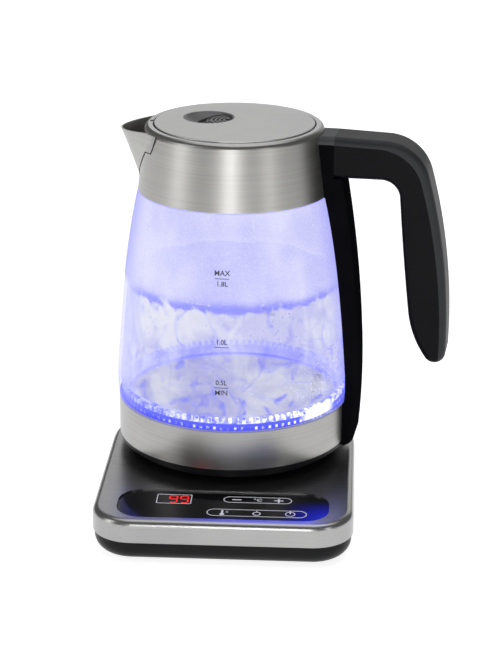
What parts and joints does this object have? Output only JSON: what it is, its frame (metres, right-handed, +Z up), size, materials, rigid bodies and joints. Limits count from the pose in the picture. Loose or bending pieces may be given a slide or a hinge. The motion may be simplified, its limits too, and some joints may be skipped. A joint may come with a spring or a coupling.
{
  "type": "electric kettle",
  "caption": "Cordless glass-jug electric kettle with steel collar and spout, hooked handle, lift-out lid with sliding catch, and a touch-control power base.",
  "frame": {"origin": "on the jug's vertical axis, at the level of the worktop under the feet", "axes": "+Z up, control panel towards -Y, handle towards +X turned 7 degrees towards the panel, spout towards -X"},
  "size_m": [0.2238, 0.2194, 0.25],
  "materials": {
    "brushed_steel": "circumferential brushing",
    "satin_rim": "satin",
    "black_plastic": "fine grain",
    "spine_plastic": "fine satin grain",
    "insert_plastic": "fine satin grain",
    "gloss_black": "polished",
    "inner_plastic": "moulded",
    "dish_plastic": "satin",
    "silicone": "matt",
    "feet_rubber": "matt",
    "jug_glass": "clear",
    "light_guide": "frosted, lit",
    "board_green": "solder mask",
    "component_plastic": "moulded",
    "contact_brass": "bare",
    "fastener_steel": "zinc plated",
    "heater_aluminium": "cast"
  },
  "bodies": {
    "base": {"base_tray": "black_plastic", "base_top_cover": "brushed_steel", "cover_frame": "inner_plastic", "control_window": "gloss_black", "display_module": "component_plastic", "control_board": "board_green", "touch_springs": "fastener_steel", "buzzer": "component_plastic", "power_board": "board_green", "power_components": "component_plastic", "connector_tower": "black_plastic", "tower_contact_ring": "contact_brass", "cord_bush": "black_plastic", "cord_clamp": "inner_plastic", "clamp_screws": "fastener_steel", "base_screws": "fastener_steel", "rubber_feet": "feet_rubber"},
    "connector": {"kettle_connector": "black_plastic", "connector_centre_pin": "contact_brass", "connector_ring_blade": "contact_brass"},
    "kettle": {"bottom_cover": "black_plastic", "bottom_screws": "fastener_steel", "chassis_ring": "inner_plastic", "lower_band": "brushed_steel", "led_board": "board_green", "ring_leds": "light_guide", "light_ring": "light_guide", "heating_plate": "brushed_steel", "heat_spreader": "heater_aluminium", "heating_element": "heater_aluminium", "boil_dry_thermostat": "component_plastic", "temperature_probe": "brushed_steel", "probe_seal": "silicone", "glass_lower_seal": "silicone", "glass_jug": "jug_glass", "glass_upper_seal": "silicone", "upper_collar": "brushed_steel", "rim_ring": "satin_rim", "spout": "brushed_steel", "spout_strainer": "brushed_steel", "handle_strap": "gloss_black", "handle_insert": "insert_plastic", "handle_grip": "gloss_black", "handle_spine_cover": "spine_plastic", "handle_screws": "fastener_steel"},
    "lid": {"lid_body": "inner_plastic", "lid_plate": "brushed_steel", "lid_dish": "dish_plastic", "lid_inner_cover": "brushed_steel", "lid_seal": "silicone", "lid_screws": "fastener_steel", "latch_spring": "fastener_steel"},
    "catch": {"lid_slider": "dish_plastic", "latch_bolt": "fastener_steel"}
  },
  "joints": [
    {"name": "kettle_lift", "type": "slide", "parent": "base", "child": "connector", "axis": [0, 0, 1], "range_m": [0, 0.12]},
    {"name": "kettle_turn", "type": "hinge", "parent": "connector", "child": "kettle", "pos_m": [0, 0, 0.03], "axis": [0, 0, 1], "continuous": true},
    {"name": "lid_lift", "type": "slide", "parent": "kettle", "child": "lid", "axis": [0, 0, 1], "range_m": [0, 0.09]},
    {"name": "catch_slide", "type": "slide", "parent": "lid", "child": "catch", "axis": [-0.9925, 0.1219, 0], "range_m": [0, 0.006], "stiffness_N_per_m": 150, "springref_m": -0.004, "deforming": ["latch_spring"]}
  ]
}
